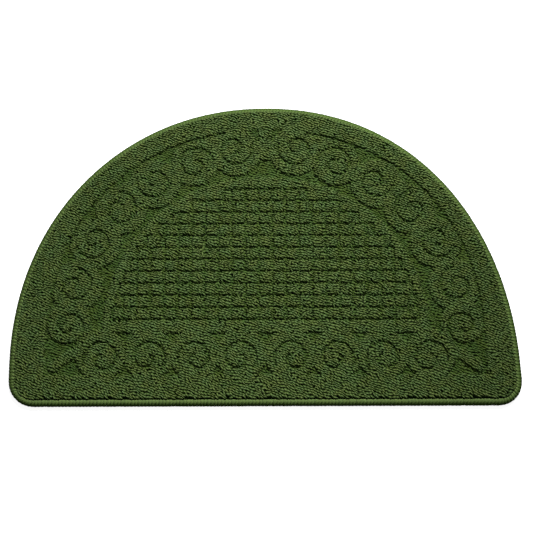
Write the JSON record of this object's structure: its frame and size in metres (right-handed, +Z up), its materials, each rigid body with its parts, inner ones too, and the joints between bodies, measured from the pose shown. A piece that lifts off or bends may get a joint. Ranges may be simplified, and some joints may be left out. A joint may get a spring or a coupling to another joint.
{
  "type": "half-moon kitchen rug",
  "caption": "Half-moon kitchen rug of green loop pile, with a carved waffle centre inside a frame, a band of scrolls and a plain border, bound round the edge with overcast yarn.",
  "frame": {"origin": "on the floor, under the middle of the rug's bounding box", "axes": "+X along the straight front edge, to the right as one stands at it; +Y from the straight edge to the top of the arch; +Z up out of the pile"},
  "size_m": [0.7628, 0.47, 0.01],
  "materials": {
    "pile_mat": "looped synthetic yarn, matte",
    "edge_binding": "wrapped yarn, slight sheen"
  },
  "bodies": {
    "root": {"pile_mat": "pile_mat", "edge_binding": "edge_binding"}
  },
  "joints": []
}
